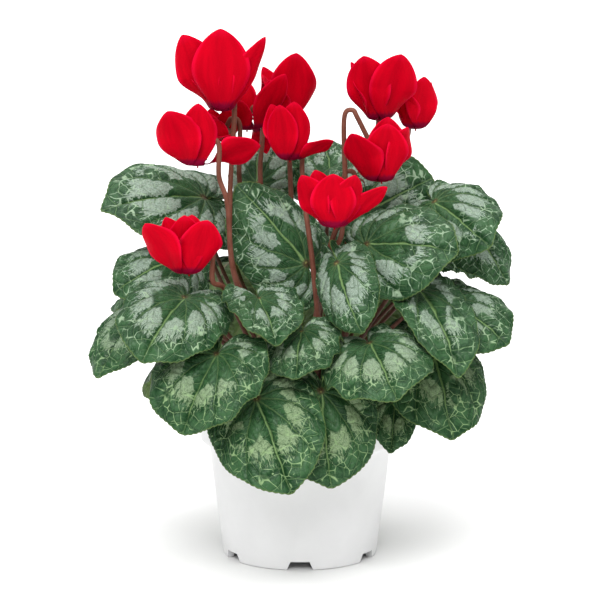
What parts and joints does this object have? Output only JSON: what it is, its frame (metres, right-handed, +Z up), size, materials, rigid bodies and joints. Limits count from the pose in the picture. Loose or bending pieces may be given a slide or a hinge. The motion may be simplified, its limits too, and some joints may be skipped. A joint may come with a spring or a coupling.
{
  "type": "potted cyclamen",
  "caption": "Florist's cyclamen in a white grower's pot: a dome of silver-patterned heart-shaped leaves under nodding red blooms on hooked stalks.",
  "frame": {"origin": "middle of the pot's foot, on the surface it stands on", "axes": "+Z up along the pot's axis, -Y towards the side shown in the picture, +X to that side's right"},
  "size_m": [0.2552, 0.233, 0.3221],
  "materials": {
    "pot_plastic": "smooth white injection-moulded plastic with a soft sheen",
    "compost": "dark damp peat crumb with bark fibres and pale grit",
    "leaf_stalks": "fleshy reddish-brown leaf stalks and a brown corky corm",
    "leaf_blades": "leathery dark blue-green blade with a silver-green zone between pale veins and a thin light edge",
    "petals": "velvety crimson petal, darker and more magenta at the throat",
    "bloom_stalks": "smooth reddish-brown stalk with a faint down, green at the hook",
    "bud": "light green furled bud that reddens at its point"
  },
  "bodies": {
    "root": {"pot": "pot_plastic", "compost": "compost", "corm_with_leaf_stalks": "leaf_stalks", "leaf_upper_left": "leaf_blades", "leaf_centre_high": "leaf_blades", "leaf_centre_fold": "leaf_blades", "leaf_upper_right": "leaf_blades", "leaf_right_high": "leaf_blades", "leaf_right_wide": "leaf_blades", "leaf_right_far": "leaf_blades", "leaf_left_folded": "leaf_blades", "leaf_left_low": "leaf_blades", "leaf_left_front": "leaf_blades", "leaf_left_skirt": "leaf_blades", "leaf_centre_cupped": "leaf_blades", "leaf_centre_low": "leaf_blades", "leaf_front_skirt": "leaf_blades", "leaf_front_skirt_right": "leaf_blades", "leaf_right_front": "leaf_blades", "leaf_right_skirt": "leaf_blades", "leaf_right_mid": "leaf_blades", "leaf_right_narrow": "leaf_blades", "leaf_right_small": "leaf_blades", "leaf_back_high_left": "leaf_blades", "leaf_back_high_right": "leaf_blades", "leaf_back_upper_left": "leaf_blades", "leaf_back_upper_middle": "leaf_blades", "leaf_back_upper_right": "leaf_blades", "leaf_back_mid_left": "leaf_blades", "leaf_back_mid_centre_left": "leaf_blades", "leaf_back_mid_centre_right": "leaf_blades", "leaf_back_mid_right": "leaf_blades", "leaf_back_skirt_left": "leaf_blades", "leaf_back_skirt_middle_left": "leaf_blades", "leaf_back_skirt_middle_right": "leaf_blades", "leaf_back_skirt_right": "leaf_blades", "bloom_left_tall": "petals", "stalk_left_tall": "bloom_stalks", "bloom_left_wide": "petals", "stalk_left_wide": "bloom_stalks", "bloom_left_behind": "petals", "stalk_left_behind": "bloom_stalks", "bloom_left_hidden": "petals", "stalk_left_hidden": "bloom_stalks", "bloom_middle_pointed": "petals", "stalk_middle_pointed": "bloom_stalks", "bloom_middle_round": "petals", "stalk_middle_round": "bloom_stalks", "bloom_right_tall": "petals", "stalk_right_tall": "bloom_stalks", "bloom_right_side": "petals", "stalk_right_side": "bloom_stalks", "bloom_right_middle": "petals", "stalk_right_middle": "bloom_stalks", "bloom_right_low": "petals", "stalk_right_low": "bloom_stalks", "bloom_left_low": "petals", "stalk_left_low": "bloom_stalks", "bud_with_stalk": "bud"}
  },
  "joints": []
}
